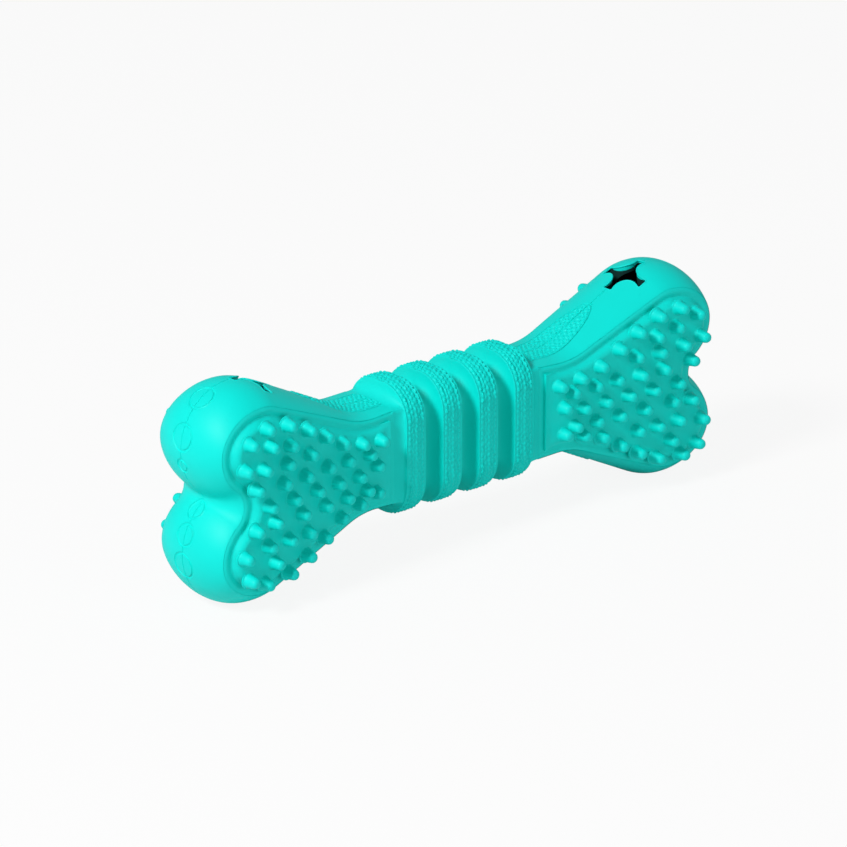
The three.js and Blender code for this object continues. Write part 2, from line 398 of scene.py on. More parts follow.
@dataclass(frozen=True)
class BoneForm:
    """The bone's own sizes in millimetres, seen square on to the studded faces."""

    end_x: float = 84.0
    lobe_radius: float = 15.2
    lobe_height: float = 13.5
    cleft_radius: float = 1.9
    neck_half: float = 13.2
    neck_run: float = 29.4
    neck_radius: float = 18.8
    root_x: float = 24.15
    edge_reach: float = 15.4
    edge_drop: float = 9.5
    neck_edge_drop: float = 4.1
    crown_drop: float = 1.5
    tip_fill: float = 0.6
    pad_root: float = 26.0
    pad_root_half: float = 10.3
    pad_lobe_half: float = 13.3
    seat_root_half: float = 9.6
    seat_lobe_half: float = 11.7

    @property
    def lobe_x(self) -> float:
        """Centre of the lobes along X."""
        return self.end_x - self.lobe_radius

    @property
    def cleft_x(self) -> float:
        """Centre of the cleft's hollow along X."""
        reach = self.lobe_radius + self.cleft_radius
        return self.lobe_x + math.sqrt(reach ** 2 - self.lobe_height ** 2)

    @property
    def flare(self) -> float:
        """Slope of the straight flank between neck and lobe, in radians."""
        rise = self.lobe_height - self.neck_half - self.neck_radius
        run = self.lobe_x - self.neck_run
        reach = self.lobe_radius + self.neck_radius
        return math.atan2(rise, run) + math.asin(reach / math.hypot(run, rise))

    def face_y(self, x: float) -> float:
        """Half thickness of the bone at a studded face's floor."""
        return self.pad_root_half + (self.pad_lobe_half - self.pad_root_half) * self.run(x)

    def seat_y(self, x: float) -> float:
        """Half thickness of the bone at the shell's rim, round a studded face."""
        return self.seat_root_half + (self.seat_lobe_half - self.seat_root_half) * self.run(x)

    def run(self, x: float) -> float:
        """Share of the way from the studded face's root to the lobes' centres."""
        return (x - self.pad_root) / (self.lobe_x - self.pad_root)

    def share(self, x: float) -> float:
        """The same share of the way, kept from 0 to 1."""
        return clamp(self.run(x))

    def turn(self, x: float) -> float:
        """Angle that the rounded edge turns through, from the parting plane to the seat."""
        return math.asin(self.seat_y(x) / self.edge_reach)

    def inset(self, x: float, turn: float) -> float:
        """How far the rounded edge has drawn in from the outline, after an angle of turn."""
        drop = self.neck_edge_drop + (self.edge_drop - self.neck_edge_drop) * self.share(x)
        return drop * (1 - math.cos(turn))


@dataclass(frozen=True)
class Ring:
    """A ring groove on a lobe's end face, at an angle up from outwards."""

    degrees: float
    radius: float


@dataclass(frozen=True)
class Step:
    """One step of a moulded profile: how far in, and how far along its axis, in millimetres."""

    inwards: float
    upwards: float


def step_in(steps: Sequence[Step]) -> None:
    """Insets the selected face through a profile, and leaves its last face selected."""
    for step in steps:
        inwards, upwards = step.inwards * MM, step.upwards * MM
        bpy.ops.mesh.inset(thickness=inwards, depth=upwards, use_even_offset=True)


def arc_steps(start: float, end: float, rings: int) -> Iterator[tuple[float, float]]:
    """Walks along a circle of radius one.

    Args:
        start: the angle that the walk starts from, in radians.
        end: the angle that it ends at.
        rings: its number of steps.

    Yields:
        Each step's fall of the cosine and rise of the sine.
    """
    turns = [start + (end - start) * ring / rings for ring in range(rings + 1)]
    for low, high in zip(turns, turns[1:]):
        yield math.cos(low) - math.cos(high), math.sin(high) - math.sin(low)


@dataclass
class EndShell:
    """The hollow end: rounded edge, seat for the studded face, pocket and star opening."""

    form: BoneForm
    drawn_from: float = 10.0
    seam_half: float = 0.2
    seam_depth: float = 0.26
    edge_rings: int = 30
    neck_steps: int = 14
    flare_steps: int = 24
    lobe_steps: int = 96
    cleft_steps: int = 8
    rim_round: float = 0.85
    channel: tuple[Step, ...] = (
        Step(0.26, -0.02), Step(0.3, -0.06), Step(0.3, -0.05), Step(0.26, -0.02),
    )
    seat_step: Step = Step(0.2, -0.9)
    seat_start: float = 24.7
    pocket_x: float = 66.6
    pocket_z: float = 14.0
    pocket_half: tuple[float, float, float] = (11.0, 7.8, 12.3)
    star_x: float = 61.9
    star_tip: float = 6.9
    star_squeeze: float = 0.9
    star_arm_half: float = 1.55
    star_corner: float = 0.6
    star_hollow: float = 4.9
    star_rise: float = 22.0
    star_corner_steps: int = 5
    star_hollow_steps: int = 14
    lip_radius: float = 0.24
    lip_sink: float = 0.144
    # Below this slanted line the throat's wall takes the pocket's painted shade.
    throat_lit: float = 25.6
    throat_slope: float = 0.37
    ring_reach: float = 0.5
    ring_tube: float = 0.42
    ring_rise: float = 0.12
    ring_sides: int = 48
    upper_rings: tuple[Ring, ...] = (Ring(56, 3.5), Ring(14, 3.5), Ring(-14, 1.7))
    lower_rings: tuple[Ring, ...] = (Ring(46, 2.5), Ring(20, 2.9), Ring(-10, 3.4))

    def outline(self) -> Object:
        """Draws the outline on the parting plane as one face that looks to the rear."""
        form = self.form
        start = mm(self.drawn_from, 0, form.neck_half)
        pen = OutlinePen("right_end_shell", start, Vector((0, -1, 0)))
        for low, high in ((self.drawn_from, form.root_x), (form.root_x, form.neck_run)):
            extrude(mm(high - low, 0, 0))
        neck = mm(form.neck_run, 0, form.neck_half + form.neck_radius)
        pen.arc(neck, math.degrees(form.flare), self.neck_steps)
        lobe = mm(form.lobe_x, 0, form.lobe_height)
        outward = Vector((-math.sin(form.flare), 0, math.cos(form.flare)))
        here = neck - outward * form.neck_radius * MM
        there = lobe + outward * form.lobe_radius * MM
        for _ in range(self.flare_steps):
            extrude((there - here) / self.flare_steps)
        cleft = math.degrees(math.atan2(-form.lobe_height, form.cleft_x - form.lobe_x))
        pen.arc(lobe, cleft - 90 - math.degrees(form.flare), self.lobe_steps)
        pen.arc(mm(form.cleft_x, 0, 0), -cleft, self.cleft_steps)
        pen.flip_copy((1, 1, -1))
        return pen.fill(Vector((0, 1, 0)))

    def round_edge(self, shell: Object) -> None:
        """Builds the rounded edge out of insets, and leans its end to the seat's plane."""
        form = self.form
        start = math.asin(self.seam_half / form.edge_reach)
        end = form.turn(form.end_x)
        with editing(shell, whole=True):
            extrude((0, self.seam_half * MM, 0))
            for fall, rise in arc_steps(start, end, self.edge_rings):
                step_in([Step(form.edge_drop * fall, form.edge_reach * rise)])
            select(shell, Pick.POLYGONS, lambda face: abs(face.center.y) < TINY)
            bpy.ops.mesh.delete(type="ONLY_FACE")
        reshape(shell, self.lean_in)
        with editing(shell, Pick.VERTICES):
            select(shell, Pick.VERTICES, lambda place: abs(place.y) < TINY)
            bpy.ops.transform.shrink_fatten(value=-self.seam_depth * MM)

    def lean_in(self, place: Vector) -> Vector:
        """Leans the rings towards the waist, where the bone is thinner and its edge flatter."""
        form = self.form
        x, y, z = place / MM
        if y < self.seam_half + 0.01:
            return place
        drawn = math.asin(min(y / form.edge_reach, 1.0))
        whole = form.turn(form.end_x)
        climb = (1 - math.cos(drawn)) / (1 - math.cos(whole))
        out, up = x - form.lobe_x, abs(z) - form.lobe_height
        reach = math.hypot(out, up)
        crown, tip = (max(up, 0.0) / reach, out / reach) if out > 0 else (form.share(x), 0.0)
        x += form.tip_fill * climb * tip
        turn = drawn * form.turn(x) / whole
        spare = form.edge_drop * (1 - math.cos(drawn)) - form.inset(x, turn)
        spare -= form.crown_drop * climb * crown
        side = clamp(z / form.neck_half * 2, -1.0, 1.0)
        return mm(x, form.edge_reach * math.sin(turn), z + spare * side)

    def cut_seat(self, shell: Object) -> Object:
        """Rounds the rim and sinks the channel and the seat of the studded face.

        Args:
            shell: the half shell.

        Returns:
            The pad's blank, one face as large as the channel's bottom.
        """
        with editing(shell):
            self.pick_widest(shell)
            bpy.ops.mesh.region_to_loop()
            bpy.ops.mesh.bevel(
                offset=self.rim_round * MM, segments=4, affect="EDGES", clamp_overlap=False
            )
            pick_parts(Pick.POLYGONS)
            self.pick_widest(shell)
            bpy.ops.mesh.bisect(plane_co=(self.seat_start * MM, 0, 0), plane_no=(1, 0, 0))
            self.pick_widest(shell)
            step_in(self.channel)
            blank = split_copy(shell)
            self.pick_widest(shell)
            step_in([self.seat_step])
        blank.name = "right_rear_stud_face"
        blank.data.name = blank.name
        return blank

    @staticmethod
    def pick_widest(shell: Object) -> None:
        """Selects the widest face that looks to the rear."""
        bpy.ops.mesh.select_all(action="DESELECT")
        bpy.ops.object.mode_set(mode="OBJECT")
        rearward = (face for face in shell.data.polygons if face.normal.y > 0.9)
        max(rearward, key=lambda face: face.area).select = True
        bpy.ops.object.mode_set(mode="EDIT")

    def close(self, shell: Object) -> None:
        """Mirrors the half to the front and cuts the root off square."""
        mirror(shell, (False, True, False), 0.02)
        root = (self.form.root_x * MM + 0.01 * MM, 0, 0)
        with editing(shell, whole=True):
            bpy.ops.mesh.bisect(plane_co=root, plane_no=(-1, 0, 0), use_fill=True, clear_outer=True)
            select_all()
            bpy.ops.mesh.normals_make_consistent(inside=False)
            select(shell, Pick.POLYGONS, lambda face: len(face.vertices) > 4)
            bpy.ops.mesh.quads_convert_to_tris(ngon_method="CLIP")

    def star(self) -> Object:
        """Draws the four armed star as one face that looks up, at the height of the pocket."""
        half, corner, hollow = self.star_arm_half, self.star_corner, self.star_hollow
        end = self.star_tip - corner
        pen = OutlinePen("star", mm(end, -half, 0), Vector((0, 0, 1)))
        sweep = -270 - 2 * math.degrees(math.atan2(half - hollow, end - hollow))
        for quarter in range(4):
            angle = math.radians(90 * quarter)
            ahead = Vector((math.cos(angle), math.sin(angle), 0))
            side = Vector((-math.sin(angle), math.cos(angle), 0))
            pen.arc((ahead * end - side * (half - corner)) * MM, 90, self.star_corner_steps)
            extrude(side * 2 * (half - corner) * MM)
            pen.arc((ahead * end + side * (half - corner)) * MM, 90, self.star_corner_steps)
            pen.arc((ahead + side) * hollow * MM, sweep, self.star_hollow_steps)
        star = pen.fill(Vector((0, 0, 1)))
        resize(star, (self.star_squeeze, 1, 1))
        shift(star, mm(self.star_x, 0, self.pocket_z))
        return star

    def lip(self, shell: Object, star: Object) -> Object:
        """Lays a soft round lip along the star's edge, where it meets the outside."""
        edge = copy_of(star, "right_star_lip")
        with editing(edge, whole=True):
            bpy.ops.mesh.delete(type="ONLY_FACE")
        throw_onto(edge, shell, upwards=True)
        shift(edge, (0, 0, -self.lip_sink * MM))
        return piping(edge, self.lip_radius)

    def hollow_out(self, shell: Object, star: Object) -> None:
        """Cuts the treat pocket and the star opening."""
        centre = mm(self.pocket_x, 0, self.pocket_z)
        ball = bpy.ops.mesh.primitive_uv_sphere_add
        pocket = primitive("pocket", ball, segments=64, ring_count=32, radius=MM, location=centre)
        resize(pocket, self.pocket_half, centre)
        with editing(star, whole=True):
            extrude((0, 0, self.star_rise * MM))
        turn_outwards(star)
        for cutter in (pocket, star):
            carve(shell, cutter)
        # Splits the throat's wall where the pocket's painted shade begins.
        lit = mm(self.star_x, 0, self.throat_lit)
        with editing(shell):
            select(shell, Pick.POLYGONS, self.in_throat)
            bpy.ops.mesh.bisect(plane_co=lit, plane_no=(-self.throat_slope, 0, 1))

    def in_throat(self, face: MeshPolygon) -> bool:
        """Says whether a face stands on the wall of the star's throat."""
        x, y, z = face.center / MM
        reach = math.hypot((x - self.star_x) / self.star_squeeze, y)
        return abs(face.normal.z) < 0.1 and z > self.pocket_z and reach < self.star_tip + 0.1

    def in_painted_shade(self, face: MeshPolygon) -> bool:
        """Says whether a face gets the dark painted shade: on the pocket's wall, or in the throat
        below its lit part.
        """
        x, y, z = face.center / MM
        if self.in_throat(face) and z < self.throat_lit + self.throat_slope * (x - self.star_x):
            return True
        reach = ((x - self.pocket_x) / self.pocket_half[0]) ** 2 + (y / self.pocket_half[1]) ** 2
        return reach + ((z - self.pocket_z) / self.pocket_half[2]) ** 2 < 1.02

    def rings(self, shell: Object) -> Object:
        """Cuts the ring grooves into the end faces of both lobes, across the parting line."""
        form, made = self.form, []
        reach = form.lobe_radius + self.ring_reach
        for side, marks in ((1, self.upper_rings), (-1, self.lower_rings)):
            lobe = Vector((form.lobe_x, 0, side * form.lobe_height))
            for mark in marks:
                angle = math.radians(mark.degrees)
                place = lobe + Vector((math.cos(angle), 0, math.sin(angle))) * reach
                ring = primitive(
                    f"ring_{len(made)}", bpy.ops.mesh.primitive_circle_add,
                    vertices=self.ring_sides, radius=mark.radius * MM,
                    location=place * MM, rotation=(0, math.pi / 2 - angle, 0),
                )
                apply_modifier(
                    ring, "SHRINKWRAP", target=shell, wrap_method="NEAREST_SURFACEPOINT",
                    offset=self.ring_rise * MM,
                )
                made.append(piping(ring, self.ring_tube))
        return join(made)


def carve(piece: Object, cutter: Object) -> None:
    """Takes a cutter's form out of a piece, and uses the cutter up."""
    apply_modifier(piece, "BOOLEAN", operation="DIFFERENCE", object=cutter, solver="MANIFOLD")
    remove(cutter)


def piping(path: Object, radius: float) -> Object:
    """Turns a path of edges into a round moulded line.

    Args:
        path: a mesh of edges alone.
        radius: the line's radius in millimetres.

    Returns:
        The same object, as a tube.
    """
    make_active(path)
    bpy.ops.object.convert(target="CURVE")
    path.data.bevel_depth = radius * MM
    path.data.bevel_resolution = 2
    bpy.ops.object.convert(target="MESH")
    return path


@dataclass
class StudFace:
    """A studded face: plate with a rounded shoulder, and tapered studs with round tips."""

    form: BoneForm
    shoulder: tuple[Step, ...] = (
        Step(0.2, 0.06), Step(0.2, 0.16), Step(0.22, 0.27), Step(0.22, 0.31), Step(0.24, 0.29),
        Step(0.26, 0.27), Step(0.3, 0.21), Step(0.32, 0.14), Step(0.35, 0.07), Step(0.35, -0.01),
        Step(0.35, -0.05),
    )
    plate_edge: float = 0.03
    seat_drop: float = -0.15
    straight_edge: float = 26.9
    corner_z: float = 9.9
    corner_blend: float = 0.8
    stud_sides: int = 16
    stud_foot: float = 2.2
    stud_profile: tuple[Step, ...] = (
        Step(0.16, 0.04), Step(0.14, 0.09), Step(0.1, 0.16), Step(0.08, 0.3), Step(0.1, 0.65),
        Step(0.13, 0.9), Step(0.12, 0.7), Step(0.13, 0.32), Step(0.18, 0.22), Step(0.24, 0.16),
        Step(0.3, 0.1), Step(0.3, 0.03),
    )
    stud_sink: float = 0.3
    stud_short: float = 0.88
    stud_growth: tuple[float, float] = (44.0, 54.0)
    studs: tuple[tuple[float, float], ...] = (
        (73.9, 16.8), (68.4, 19.5), (61.3, 18.7), (54.7, 15.7), (48.8, 12.4), (42.9, 9.0),
        (36.3, 7.2), (29.7, 6.4), (75.6, 10.4), (72.1, 4.7), (67.8, -0.7), (72.3, -6.1),
        (75.9, -12.2), (74.3, -18.5), (69.3, -20.5), (61.3, -19.8), (55.1, -17.0), (49.3, -13.8),
        (43.5, -10.3), (37.3, -8.4), (31.3, -6.9), (31.2, 0.3), (67.2, 14.6), (69.5, 9.2),
        (60.7, 13.3), (33.8, 3.9), (41.2, 4.1), (48.0, 4.3), (55.6, 4.0), (63.0, 4.0), (37.4, -1.1),
        (44.5, -0.9), (51.9, -0.8), (59.7, -0.9), (34.7, -5.4), (41.6, -5.5), (48.9, -5.6),
        (56.8, -5.5), (66.0, -5.4), (54.1, 9.3), (61.8, 8.9), (54.8, -11.0), (61.3, -11.1),
        (68.1, -11.0), (65.8, -16.0),
    )

    def build(self, blank: Object) -> Object:
        """Shapes the blank into the plate and sets the studs on it.

        Args:
            blank: one face as large as the channel's bottom.

        Returns:
            The rear studded face of the right end.
        """
        with editing(blank, whole=True):
            extrude((0, self.plate_edge * MM, 0))
            step_in(self.shoulder)
        reshape(blank, self.raise_face)
        stud = self.stud()
        pieces = [blank]
        low, high = self.stud_growth
        for number, (x, z) in enumerate(self.studs):
            twin = copy_of(stud, f"stud_{number}")
            tall = self.stud_short + (1 - self.stud_short) * clamp((x - low) / (high - low))
            resize(twin, (1, tall, 1))
            shift(twin, mm(x, self.form.face_y(x) - self.stud_sink, z))
            pieces.append(twin)
        remove(stud)
        return join(pieces)

    def raise_face(self, place: Vector) -> Vector:
        """Leans the floor off the seat's plane, and squares the shoulder at the waist's edge."""
        x, y, z = place / MM
        depth = self.plate_edge + sum(step.upwards for step in self.shoulder)
        seat = self.form.seat_y(x) + self.seat_drop
        floor = self.form.face_y(x)
        height = (y - seat) / depth
        if height < 0.5 * self.plate_edge / depth:
            return place
        nearer = (x - self.straight_edge) - (self.corner_z - abs(z))
        share = clamp(0.5 + nearer / self.corner_blend)
        return mm(x, floor + (floor - seat) * (height - 1) * share, z)

    def stud(self) -> Object:
        """Builds one stud at the origin, which points to the rear."""
        stud = primitive(
            "stud", bpy.ops.mesh.primitive_circle_add, vertices=self.stud_sides,
            radius=self.stud_foot * MM, fill_type="NGON", rotation=(-math.pi / 2, 0, 0),
        )
        with editing(stud, whole=True):
            extrude((0, self.stud_sink * MM, 0))
            step_in(self.stud_profile)
        lean = self.form.face_y(1) - self.form.face_y(0)
        reshape(stud, lambda p: Vector((p.x, p.y + lean * p.x, p.z)))
        return stud


@dataclass(frozen=True)
class HideGrain:
    """Relief of small domed pebbles in staggered rows, cut into the mould."""

    length: float = 1.45
    width: float = 1.05
    crease: float = 0.3
    dimple: float = 0.35
    wander: float = 0.4
    depth: float = 0.42
    waver: float = 0.6
    dome_power: float = 2.6
    dimple_reach: float = 0.32

    def height(self, along: float, across: float) -> float:
        """Height of the relief at a place, from 0 in a crease to 1 on a pebble.

        Args:
            along: distance along the rows, in millimetres.
            across: distance across the rows, in millimetres.

        Returns:
            The height.
        """
        along += self.wander * noise.noise(Vector((along * self.waver, across * self.waver, 3.0)))
        across += self.wander * noise.noise(Vector((along * self.waver, across * self.waver, 17.0)))
        row = math.floor(across / self.width)
        cell = along / self.length + 0.5 * (row % 2)
        du = abs(cell - math.floor(cell) - 0.5) * 2 * self.length / (self.length - self.crease)
        dv = abs(across / self.width - row - 0.5) * 2 * self.width / (self.width - self.crease)
        reach = (du ** self.dome_power + dv ** self.dome_power) ** (1 / self.dome_power)
        dome = math.sqrt(max(0.0, 1 - reach ** 2))
        return dome - self.dimple * math.exp(-(reach / self.dimple_reach) ** 2)

    def press(self, piece: Object, relief: Callable[[Vector], float]) -> None:
        """Raises a finely divided piece along its normals.

        Args:
            piece: the piece.
            relief: gives the height from 0 to 1 at a place in millimetres.
        """
        group = piece.vertex_groups.new(name="relief")
        for vertex in piece.data.vertices:
            group.add([vertex.index], clamp(relief(vertex.co / MM)), "REPLACE")
        apply_modifier(
            piece, "DISPLACE", strength=self.depth * MM, mid_level=0.0, vertex_group=group.name
        )
        piece.vertex_groups.clear()


@dataclass
class NeckTongue:
    """Hide grained tongue along the top of the neck, inside a grooved border."""

    form: BoneForm
    grain: HideGrain
    start_x: float = 24.4
    apex_x: float = 50.0
    taper_x: float = 33.0
    half_width: float = 5.2
    cells: tuple[int, int] = (150, 64)
    sink: float = 0.12
    border_tube: float = 0.38
    seam: float = 0.12
    rim: float = 0.55
    tip_stop: float = 0.9995
    taper_power: float = 2.2
    tip_power: float = 0.62
    skin: float = 0.2

    def half_at(self, x: float) -> float:
        """Half width of the tongue at a place along the bone."""
        if x <= self.taper_x:
            return self.half_width
        share = min((x - self.taper_x) / (self.apex_x - self.taper_x), self.tip_stop)
        return self.half_width * (1 - share ** self.taper_power) ** self.tip_power

    def build(self, shell: Object) -> tuple[Object, Object]:
        """Lays the tongue on the upper side of the right neck.

        Args:
            shell: the shell that carries it.

        Returns:
            The tongue, and the cutter of its border groove.
        """
        length = self.apex_x - self.start_x
        middle = mm((self.start_x + self.apex_x) / 2, 0, self.form.end_x)
        tongue = primitive(
            "right_upper_tongue", bpy.ops.mesh.primitive_grid_add, x_subdivisions=self.cells[0],
            y_subdivisions=self.cells[1], size=MM, location=middle,
        )
        resize(tongue, (length, 2 * self.half_width, 1), middle)
        half = self.half_width
        reshape(tongue, lambda p: Vector((p.x, p.y * self.half_at(p.x / MM) / half, p.z)))
        throw_onto(tongue, shell, upwards=False, offset=-self.sink * MM)
        with editing(tongue, whole=True):
            bpy.ops.mesh.region_to_loop()
            border = split_copy(tongue)
        shift(border, (0, 0, 2 * self.sink * MM))
        piping(border, self.border_tube)
        self.grain.press(tongue, self.relief)
        return tongue, border

    def relief(self, place: Vector) -> float:
        """Height of the relief, which runs out at the border."""
        rim = min(self.half_at(place.x) - abs(place.y), self.apex_x - place.x)
        body = clamp(min(rim / self.rim, (abs(place.y) - self.seam) / self.seam))
        height = self.grain.height(place.x, place.y + 0.5 * self.grain.width)
        return body * (self.skin + (1 - self.skin) * height)


@dataclass
class Waist:
    """Four ribs with hide grained bands, and the smooth valleys between them."""

    form: BoneForm
    grain: HideGrain
    pitch: float = 12.0
    band: float = 6.4
    half_width: float = 10.7
    half_height: float = 17.0
    corner: float = 8.7
    corner_cuts: int = 48
    side_cuts: int = 63
    cap_cuts: int = 15
    row_cuts: int = 31
    seam_half: float = 0.2
    seam_depth: float = 0.2
    crown: float = 0.35
    border_height: float = 0.2
    border_inset: float = 0.23
    border_half: float = 0.2
    grain_margin: float = 0.62
    grain_fade: float = 0.2
    side_grain: float = 0.55
    valley_depth: float = 4.5
    valley_rings: int = 14
    valley_corner_cuts: int = 20
    valley_side_cuts: int = 11
    tuck: float = 0.6
    sink: float = 0.05
    flank_reach: float = 3.5
    flank_sides: int = 180
    flank_rings: int = 14
    flank_sink: float = 0.04
    flank_spacing: float = 1.5
    flank_run: float = 1.6
    flank_fall: float = 2.2
    under_rib: Step = Step(0.3, -0.5)
    under_neck: Step = Step(0.5, 0.6)

    def block(self) -> Object:
        """Builds a rounded box round the origin, as long as a band and finely divided."""
        piece = primitive("rib", bpy.ops.mesh.primitive_cube_add, size=MM)
        along = self.band / 2 * MM
        across = (2 * (self.half_width - self.corner) - 0.1) * MM
        upright = (2 * (self.half_height - self.corner) - 0.1) * MM
        with editing(piece, whole=True):
            bpy.ops.transform.resize(value=(self.band, 2 * self.half_width, 2 * self.half_height))
            select(piece, Pick.EDGES, lambda a, b: abs(a.x - b.x) > along)
            bpy.ops.mesh.bevel(offset=self.corner * MM, segments=self.corner_cuts, affect="EDGES")
            for axis, least, cuts in (
                (2, upright, self.side_cuts), (1, across, self.cap_cuts), (0, along, self.row_cuts)
            ):
                select(piece, Pick.EDGES, lambda a, b: abs(a[axis] - b[axis]) > least)
                bpy.ops.mesh.subdivide(number_cuts=cuts)
            pick_parts(Pick.POLYGONS)
            for y in (-self.seam_half, 0.0, self.seam_half):
                select_all()
                bpy.ops.mesh.bisect(plane_co=(0, y * MM, 0), plane_no=(0, 1, 0))
        return piece

    def swell_rows(self, piece: Object) -> None:
        """Moves each row of a block out along its own normals, to its crown and border lines."""
        rows = sorted({round(abs(vertex.co.x) / MM, 3) for vertex in piece.data.vertices})
        with editing(piece, Pick.VERTICES):
            for row in rows:
                rise = self.band_rise(row)
                if abs(rise) < 0.001:
                    continue
                select(piece, Pick.VERTICES, lambda p: abs(abs(p.x) / MM - row) < 0.002)
                bpy.ops.transform.shrink_fatten(value=rise * MM)

    def band_rise(self, off: float) -> float:
        """Height of the band's crown and border lines above its flat form."""
        half = self.band / 2
        line = max(0.0, 1 - abs(off - (half - self.border_inset)) / self.border_half)
        return self.crown * (1 - (off / half) ** 2) + self.border_height * line

    def seam(self, place: Vector) -> Vector:
        """Sinks the row on the parting plane into a fine groove, at top and bottom."""
        if abs(place.y) > 0.05 * MM:
            return place
        return place - Vector((0, 0, math.copysign(self.seam_depth * MM, place.z)))

    def rib(self) -> Object:
        """Builds one rib round the origin."""
        rib = self.block()
        self.swell_rows(rib)
        self.grain.press(rib, self.relief)
        reshape(rib, self.seam)
        return rib

    def relief(self, place: Vector) -> float:
        """Height of the relief, fullest on top and softer on the sides."""
        inside = clamp((self.band / 2 - self.grain_margin - abs(place.x)) / self.grain_fade)
        up = clamp(abs(place.z) / self.half_height)
        strength = self.side_grain + (1 - self.side_grain) * up
        height = self.grain.height(self.around(place), place.x + 0.5 * self.grain.width)
        return inside * strength * height

    def around(self, place: Vector) -> float:
        """Distance round the section, from the middle of the top or bottom."""
        flat, side = self.half_width - self.corner, self.half_height - self.corner
        y, z = abs(place.y), abs(place.z)
        if y <= flat:
            return y
        if z >= side:
            return flat + self.corner * math.atan2(y - flat, z - side)
        return flat + self.corner * math.pi / 2 + side - z

    def web(self) -> Object:
        """Builds one valley round the origin, tucked under both of its ribs.

        One half is drawn in by insets from a rib's edge to the valley's bottom, then mirrored.
        """
        half = (self.pitch - self.band) / 2
        web = primitive(
            "web", bpy.ops.mesh.primitive_plane_add, size=MM,
            location=(-half * MM - self.tuck * MM, 0, 0), rotation=(0, math.pi / 2, 0),
        )
        with editing(web, Pick.VERTICES, whole=True):
            bpy.ops.transform.resize(value=(1, 2 * self.half_width, 2 * self.half_height))
            bpy.ops.mesh.bevel(
                offset=self.corner * MM, segments=self.valley_corner_cuts, affect="VERTICES"
            )
            select(web, Pick.EDGES, lambda a, b: (a - b).length > 2 * MM)
            bpy.ops.mesh.subdivide(number_cuts=self.valley_side_cuts)
            pick_parts(Pick.POLYGONS)
            select_all()
            bpy.ops.mesh.inset(thickness=self.sink * MM, depth=0)
            extrude((self.tuck * MM, 0, 0))
            for fall, rise in arc_steps(0.0, math.pi / 2, self.valley_rings):
                step_in([Step(self.valley_depth * rise, half * fall)])
            select(
                web, Pick.POLYGONS, lambda face: face.center.x > -TINY and abs(face.normal.x) > 0.99
            )
            bpy.ops.mesh.delete(type="FACE")
        mirror(web, (True, False, False), 0.01)
        reshape(web, self.seam)
        turn_outwards(web)
        return web

    def in_rib(self, y: float, z: float) -> bool:
        """Says whether a place lies inside the rib's section."""
        dy = max(abs(y) - (self.half_width - self.corner), 0.0)
        dz = max(abs(z) - (self.half_height - self.corner), 0.0)
        return math.hypot(dy, dz) < self.corner

    def in_neck(self, y: float, z: float) -> bool:
        """Says whether a place lies inside the neck's section at its root."""
        form = self.form
        side = form.seat_y(form.root_x)
        turn = math.asin(min(abs(y) / form.edge_reach, 1.0))
        return abs(y) < side and abs(z) < form.neck_half - form.inset(form.root_x, turn)

    @staticmethod
    def reach(inside: Callable[[float, float], bool], angle: float) -> float:
        """Distance from the axis to a section's edge, in one direction across the bone."""
        low, high, halvings = 0.0, 40.0, 30
        for _ in range(halvings):
            middle = (low + high) / 2
            hit = inside(middle * math.cos(angle), middle * math.sin(angle))
            low, high = (middle, high) if hit else (low, middle)
        return low

    def flank(self) -> Object:
        """Builds the fillet from the outer rib down to the right neck.

        Its section changes from the rib's to the neck's, so its rings are placed by both sections.
        """
        rings = self.flank_rings
        band_edge = self.pitch * 1.5 + self.band / 2
        flank = primitive(
            "right_rib_flank", bpy.ops.mesh.primitive_cylinder_add, vertices=self.flank_sides,
            radius=MM, depth=MM, end_fill_type="NGON", rotation=(0, math.pi / 2, 0),
        )
        with editing(flank):
            select(flank, Pick.EDGES, lambda a, b: abs(a.x - b.x) > MM / 2)
            bpy.ops.mesh.subdivide(number_cuts=rings)
        span = 1 / (rings + 1)

        def place(vertex: Vector) -> Vector:
            """Gives a vertex of the plain cylinder its place on the fillet."""
            angle = math.atan2(vertex.z, vertex.y)
            ring = round((vertex.x / MM + 0.5) / span)
            rib, neck = self.reach(self.in_rib, angle), self.reach(self.in_neck, angle)
            if ring == 0:
                x, radius = band_edge + self.under_rib.upwards, rib - self.under_rib.inwards
            elif ring == rings + 1:
                x = band_edge + self.flank_reach + self.under_neck.upwards
                radius = neck - self.under_neck.inwards
            else:
                share = (ring - 1) / (rings - 1)
                share = 1 - (1 - share) ** self.flank_spacing if share < 1 else 1.0
                run = share ** self.flank_run
                x = band_edge + self.flank_reach * run
                fall = math.sqrt(max(0.0, 1 - (1 - run) ** self.flank_fall))
                radius = rib + (neck - rib) * fall - self.flank_sink
            return mm(x, radius * math.cos(angle), radius * math.sin(angle))

        reshape(flank, place)
        turn_outwards(flank)
        return flank


def add_node(
    tree: NodeTree, kind: str, settings: dict[str, object] | None = None,
    links: dict[str, NodeSocket] | None = None,
) -> Node:
    """Adds a node with its settings and links.

    Args:
        tree: the material's or world's node tree.
        kind: the node's type.
        settings: values by the name or number of an input, or by the name of a property.
        links: output sockets by the name or number of the input that they feed.

    Returns:
        The node.
    """
    node = tree.nodes.new(kind)
    for key, value in (settings or {}).items():
        if key.startswith("."):
            setattr(node, key[1:], value)
        else:
            node.inputs[int(key) if key.isdigit() else key].default_value = value
    for key, socket in (links or {}).items():
        tree.links.new(socket, node.inputs[int(key) if key.isdigit() else key])
    return node


def empty_tree(owner: Material | World) -> NodeTree:
    """Gives a material or a world an empty node tree, and returns the tree."""
    owner.use_nodes = True
    owner.node_tree.nodes.clear()
    return owner.node_tree


